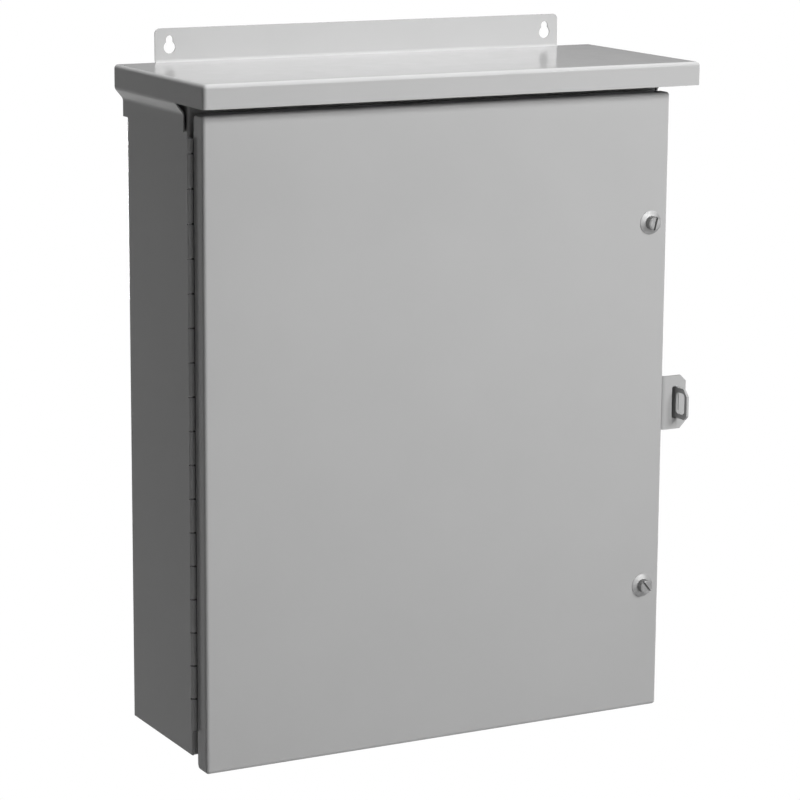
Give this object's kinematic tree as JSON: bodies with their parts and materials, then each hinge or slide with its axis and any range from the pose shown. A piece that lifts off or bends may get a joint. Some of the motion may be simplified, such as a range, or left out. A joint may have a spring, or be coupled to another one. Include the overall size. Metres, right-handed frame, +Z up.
{
  "type": "electrical enclosure",
  "caption": "Wall-mounted outdoor sheet-steel electrical box with a hinged cover, an overhanging drip shield with a keyholed flange, captive cover screws and a padlock hasp.",
  "frame": {"origin": "on the wall plane, at the middle of the enclosure's back", "axes": "+Z up, +Y into the wall, so the cover faces -Y and its hinge is at -X"},
  "size_m": [0.647, 0.2444, 0.8201],
  "materials": {
    "grey_paint": "light grey semi-gloss enamel",
    "plated_steel": "bright zinc plating",
    "pin_steel": "drawn steel"
  },
  "bodies": {
    "enclosure_body": {"body_wrap": "grey_paint", "top_pan": "grey_paint", "bottom_pan": "grey_paint", "drip_shield": "grey_paint", "hinge_body_leaf": "grey_paint", "hinge_pin": "pin_steel", "padlock_staple": "grey_paint", "upper_screw_nut": "grey_paint", "lower_screw_nut": "grey_paint", "upper_left_panel_stud": "plated_steel", "upper_right_panel_stud": "plated_steel", "lower_left_panel_stud": "plated_steel", "lower_right_panel_stud": "plated_steel", "ground_stud": "plated_steel", "ground_washer": "plated_steel", "ground_nut": "plated_steel"},
    "hinged_cover": {"cover": "grey_paint", "hinge_cover_leaf": "grey_paint", "hasp_plate": "grey_paint", "upper_screw_washer": "plated_steel", "lower_screw_washer": "plated_steel"},
    "upper_retainer": {"upper_screw_retainer": "plated_steel"},
    "upper_cover_screw": {"upper_screw": "plated_steel"},
    "lower_retainer": {"lower_screw_retainer": "plated_steel"},
    "lower_cover_screw": {"lower_screw": "plated_steel"}
  },
  "joints": [
    {"name": "cover_hinge", "type": "hinge", "parent": "enclosure_body", "child": "hinged_cover", "pos_m": [-0.2996, -0.17548, 0], "axis": [0, 0, -1], "range_deg": [0, 150]},
    {"name": "upper_screw_travel", "type": "slide", "parent": "hinged_cover", "child": "upper_retainer", "axis": [0, -1, 0], "range_m": [0, 0.0089]},
    {"name": "upper_screw_turn", "type": "hinge", "parent": "upper_retainer", "child": "upper_cover_screw", "pos_m": [0.27472, -0.2, 0.195], "axis": [0, -1, 0], "range_deg": [0, 2520]},
    {"name": "lower_screw_travel", "type": "slide", "parent": "hinged_cover", "child": "lower_retainer", "axis": [0, -1, 0], "range_m": [0, 0.0089]},
    {"name": "lower_screw_turn", "type": "hinge", "parent": "lower_retainer", "child": "lower_cover_screw", "pos_m": [0.27472, -0.2, -0.2445], "axis": [0, -1, 0], "range_deg": [0, 2520]}
  ],
  "couplings": [
    {"joint": "upper_screw_travel", "follows": "upper_screw_turn", "m_per_rad": 0.00020213},
    {"joint": "lower_screw_travel", "follows": "lower_screw_turn", "m_per_rad": 0.00020213}
  ]
}
